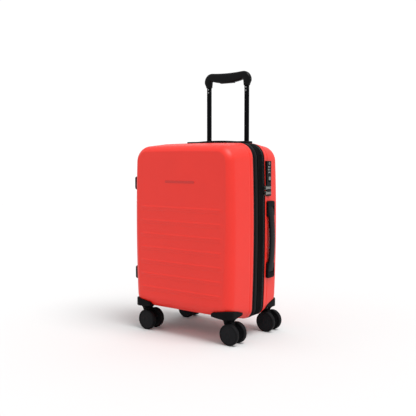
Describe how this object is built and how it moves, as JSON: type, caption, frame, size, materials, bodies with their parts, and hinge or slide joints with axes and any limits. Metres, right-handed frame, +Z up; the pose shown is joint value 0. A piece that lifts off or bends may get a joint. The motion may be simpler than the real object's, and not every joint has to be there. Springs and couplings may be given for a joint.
{
  "type": "hard shell suitcase",
  "caption": "Cabin-size hard shell suitcase with zipped shells, expander band, telescopic handle, side lock and twin-wheel casters.",
  "frame": {"origin": "on the floor, under the middle of the case", "axes": "+X towards the side with the lock, -Y the front face, +Z up"},
  "size_m": [0.3804, 0.2517, 0.7591],
  "materials": {
    "red_shell": "satin moulded polypropylene",
    "lining_cloth": "woven polyester",
    "pocket_mesh": "knitted mesh",
    "black_plastic": "fine moulded grain",
    "zip_tape": "woven tape with coil",
    "grey_trim": "smooth moulded",
    "band_fabric": "coated weave",
    "black_tube": "black anodised",
    "lock_metal": "plated zinc",
    "dial_plastic": "satin",
    "fork_plastic": "glass-filled nylon",
    "axle_steel": "turned",
    "wheel_rubber": "satin polyurethane"
  },
  "bodies": {
    "back_case": {"main_zip_back": "zip_tape", "back_shell": "red_shell", "back_lining": "lining_cloth", "back_feet": "black_plastic", "back_guards": "black_plastic", "packing_straps": "lining_cloth", "strap_buckle": "black_plastic", "side_handle_ends": "black_plastic", "top_handle_ends": "black_plastic", "handle_bezel": "black_plastic", "fixed_tubes": "black_tube", "tube_base": "black_plastic", "tube_cover": "black_plastic", "lock_housing": "black_plastic", "zip_sliders": "lock_metal"},
    "zip_ring": {"expander_zip_back": "zip_tape", "grey_strip": "grey_trim", "fabric_band": "band_fabric", "expander_gusset": "band_fabric", "main_zip_front": "zip_tape", "hinge_strip": "band_fabric"},
    "front_case": {"front_shell": "red_shell", "front_lining": "lining_cloth", "front_feet": "black_plastic", "front_guards": "black_plastic", "blank_badge": "red_shell", "mesh_pocket": "pocket_mesh", "expander_zip_front": "zip_tape"},
    "handle_mid": {"mid_tubes": "black_tube"},
    "handle_top": {"top_tubes": "black_tube", "handle_grip": "black_plastic", "tube_pins": "black_tube"},
    "grip_button": {"release_button": "black_plastic"},
    "side_grip": {"side_handle_grip": "black_plastic"},
    "top_grip": {"top_handle_grip": "black_plastic"},
    "lock_catch": {"lock_slide": "black_plastic"},
    "key_core": {"key_cylinder": "lock_metal"},
    "dial_1": {"lock_dial_1": "dial_plastic"},
    "dial_2": {"lock_dial_2": "dial_plastic"},
    "dial_3": {"lock_dial_3": "dial_plastic"},
    "pull_1": {"zip_pull_1": "lock_metal"},
    "pull_2": {"zip_pull_2": "lock_metal"},
    "caster_front_left": {"fork_front_left": "fork_plastic", "axle_front_left": "axle_steel"},
    "roller_front_left_a": {"wheel_front_left_a": "wheel_rubber"},
    "roller_front_left_b": {"wheel_front_left_b": "wheel_rubber"},
    "caster_front_right": {"fork_front_right": "fork_plastic", "axle_front_right": "axle_steel"},
    "roller_front_right_a": {"wheel_front_right_a": "wheel_rubber"},
    "roller_front_right_b": {"wheel_front_right_b": "wheel_rubber"},
    "caster_back_left": {"fork_back_left": "fork_plastic", "axle_back_left": "axle_steel"},
    "roller_back_left_a": {"wheel_back_left_a": "wheel_rubber"},
    "roller_back_left_b": {"wheel_back_left_b": "wheel_rubber"},
    "caster_back_right": {"fork_back_right": "fork_plastic", "axle_back_right": "axle_steel"},
    "roller_back_right_a": {"wheel_back_right_a": "wheel_rubber"},
    "roller_back_right_b": {"wheel_back_right_b": "wheel_rubber"}
  },
  "joints": [
    {"name": "case_open", "type": "hinge", "parent": "back_case", "child": "zip_ring", "pos_m": [-0.191, 0.033, 0.3], "axis": [0, 0, -1], "range_deg": [0, 180]},
    {"name": "expander", "type": "slide", "parent": "zip_ring", "child": "front_case", "axis": [0, -1, 0], "range_m": [0, 0.036]},
    {"name": "handle_mid_slide", "type": "slide", "parent": "back_case", "child": "handle_mid", "axis": [0, 0, 1], "range_m": [0, 0.2]},
    {"name": "handle_top_slide", "type": "slide", "parent": "handle_mid", "child": "handle_top", "axis": [0, 0, 1], "range_m": [-0.195, 0]},
    {"name": "grip_button_press", "type": "slide", "parent": "handle_top", "child": "grip_button", "axis": [0, 0, 1], "range_m": [0, 0.0024], "stiffness_N_per_m": 400, "springref_m": -0.002},
    {"name": "side_grip_pull", "type": "slide", "parent": "back_case", "child": "side_grip", "axis": [1, 0, 0], "range_m": [0, 0.015], "stiffness_N_per_m": 200, "springref_m": -0.005},
    {"name": "top_grip_pull", "type": "slide", "parent": "back_case", "child": "top_grip", "axis": [0, 0, 1], "range_m": [0, 0.015], "stiffness_N_per_m": 200, "springref_m": -0.005},
    {"name": "lock_release", "type": "slide", "parent": "back_case", "child": "lock_catch", "axis": [0, 0, -1], "range_m": [0, 0.0038], "stiffness_N_per_m": 300, "springref_m": -0.002},
    {"name": "key_turn", "type": "hinge", "parent": "back_case", "child": "key_core", "pos_m": [0.182, 0.055, 0.487], "axis": [1, 0, 0], "range_deg": [0, 90]},
    {"name": "dial_1_turn", "type": "hinge", "parent": "back_case", "child": "dial_1", "pos_m": [0.1766, 0.055, 0.4619], "axis": [0, 0, 1], "continuous": true},
    {"name": "dial_2_turn", "type": "hinge", "parent": "back_case", "child": "dial_2", "pos_m": [0.1766, 0.055, 0.4695], "axis": [0, 0, 1], "continuous": true},
    {"name": "dial_3_turn", "type": "hinge", "parent": "back_case", "child": "dial_3", "pos_m": [0.1766, 0.055, 0.4771], "axis": [0, 0, 1], "continuous": true},
    {"name": "pull_1_swing", "type": "hinge", "parent": "back_case", "child": "pull_1", "pos_m": [0.184, 0.036, 0.404], "axis": [0, 0, -1], "range_deg": [0, 100]},
    {"name": "pull_2_swing", "type": "hinge", "parent": "back_case", "child": "pull_2", "pos_m": [0.184, 0.036, 0.419], "axis": [0, 0, -1], "range_deg": [0, 100]},
    {"name": "swivel_front_left", "type": "hinge", "parent": "front_case", "child": "caster_front_left", "pos_m": [-0.147, -0.092, 0.065], "axis": [0, 0, 1], "continuous": true},
    {"name": "roll_front_left_a", "type": "hinge", "parent": "caster_front_left", "child": "roller_front_left_a", "pos_m": [-0.133, -0.092, 0.02925], "axis": [0, 1, 0], "continuous": true},
    {"name": "roll_front_left_b", "type": "hinge", "parent": "caster_front_left", "child": "roller_front_left_b", "pos_m": [-0.133, -0.092, 0.02925], "axis": [0, 1, 0], "continuous": true},
    {"name": "swivel_front_right", "type": "hinge", "parent": "front_case", "child": "caster_front_right", "pos_m": [0.147, -0.092, 0.065], "axis": [0, 0, 1], "continuous": true},
    {"name": "roll_front_right_a", "type": "hinge", "parent": "caster_front_right", "child": "roller_front_right_a", "pos_m": [0.161, -0.092, 0.02925], "axis": [0, 1, 0], "continuous": true},
    {"name": "roll_front_right_b", "type": "hinge", "parent": "caster_front_right", "child": "roller_front_right_b", "pos_m": [0.161, -0.092, 0.02925], "axis": [0, 1, 0], "continuous": true},
    {"name": "swivel_back_left", "type": "hinge", "parent": "back_case", "child": "caster_back_left", "pos_m": [-0.147, 0.092, 0.065], "axis": [0, 0, 1], "continuous": true},
    {"name": "roll_back_left_a", "type": "hinge", "parent": "caster_back_left", "child": "roller_back_left_a", "pos_m": [-0.133, 0.092, 0.02925], "axis": [0, 1, 0], "continuous": true},
    {"name": "roll_back_left_b", "type": "hinge", "parent": "caster_back_left", "child": "roller_back_left_b", "pos_m": [-0.133, 0.092, 0.02925], "axis": [0, 1, 0], "continuous": true},
    {"name": "swivel_back_right", "type": "hinge", "parent": "back_case", "child": "caster_back_right", "pos_m": [0.147, 0.092, 0.065], "axis": [0, 0, 1], "continuous": true},
    {"name": "roll_back_right_a", "type": "hinge", "parent": "caster_back_right", "child": "roller_back_right_a", "pos_m": [0.161, 0.092, 0.02925], "axis": [0, 1, 0], "continuous": true},
    {"name": "roll_back_right_b", "type": "hinge", "parent": "caster_back_right", "child": "roller_back_right_b", "pos_m": [0.161, 0.092, 0.02925], "axis": [0, 1, 0], "continuous": true}
  ]
}
